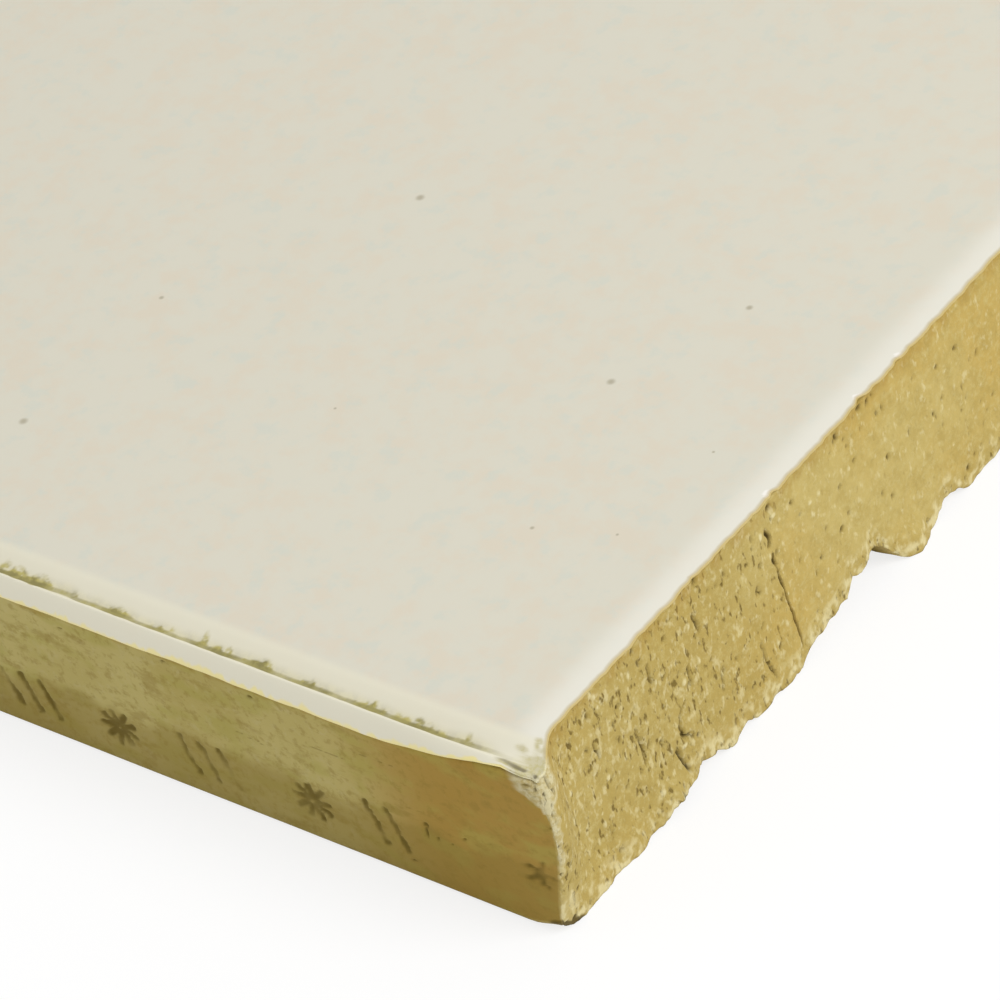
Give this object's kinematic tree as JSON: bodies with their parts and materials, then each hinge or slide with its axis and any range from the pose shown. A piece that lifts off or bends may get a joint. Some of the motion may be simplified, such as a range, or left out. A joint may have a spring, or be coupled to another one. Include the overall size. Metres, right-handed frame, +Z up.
{
  "type": "clinker floor tile",
  "caption": "Rectangular extruded clinker floor tile with a pale glazed face, a moulded beaded edge, a torn wire-cut end and a ribbed underside.",
  "frame": {"origin": "middle of the underside, on the plane of the ribs that the tile lies on", "axes": "+X along the tile's length, towards the torn cut end; +Y across it, away from the stamped side; +Z up, out of the glazed walking face"},
  "size_m": [0.24, 0.115, 0.0123],
  "materials": {
    "fired_tile": "buff fired clay, bare and matt on the sides, the ends and the underside",
    "cream_glaze": "opaque cream satin glaze on the walking face, the beads and the arrises, with a thin yellowish lower rim"
  },
  "bodies": {
    "root": {"tile": "fired_tile"}
  },
  "joints": []
}
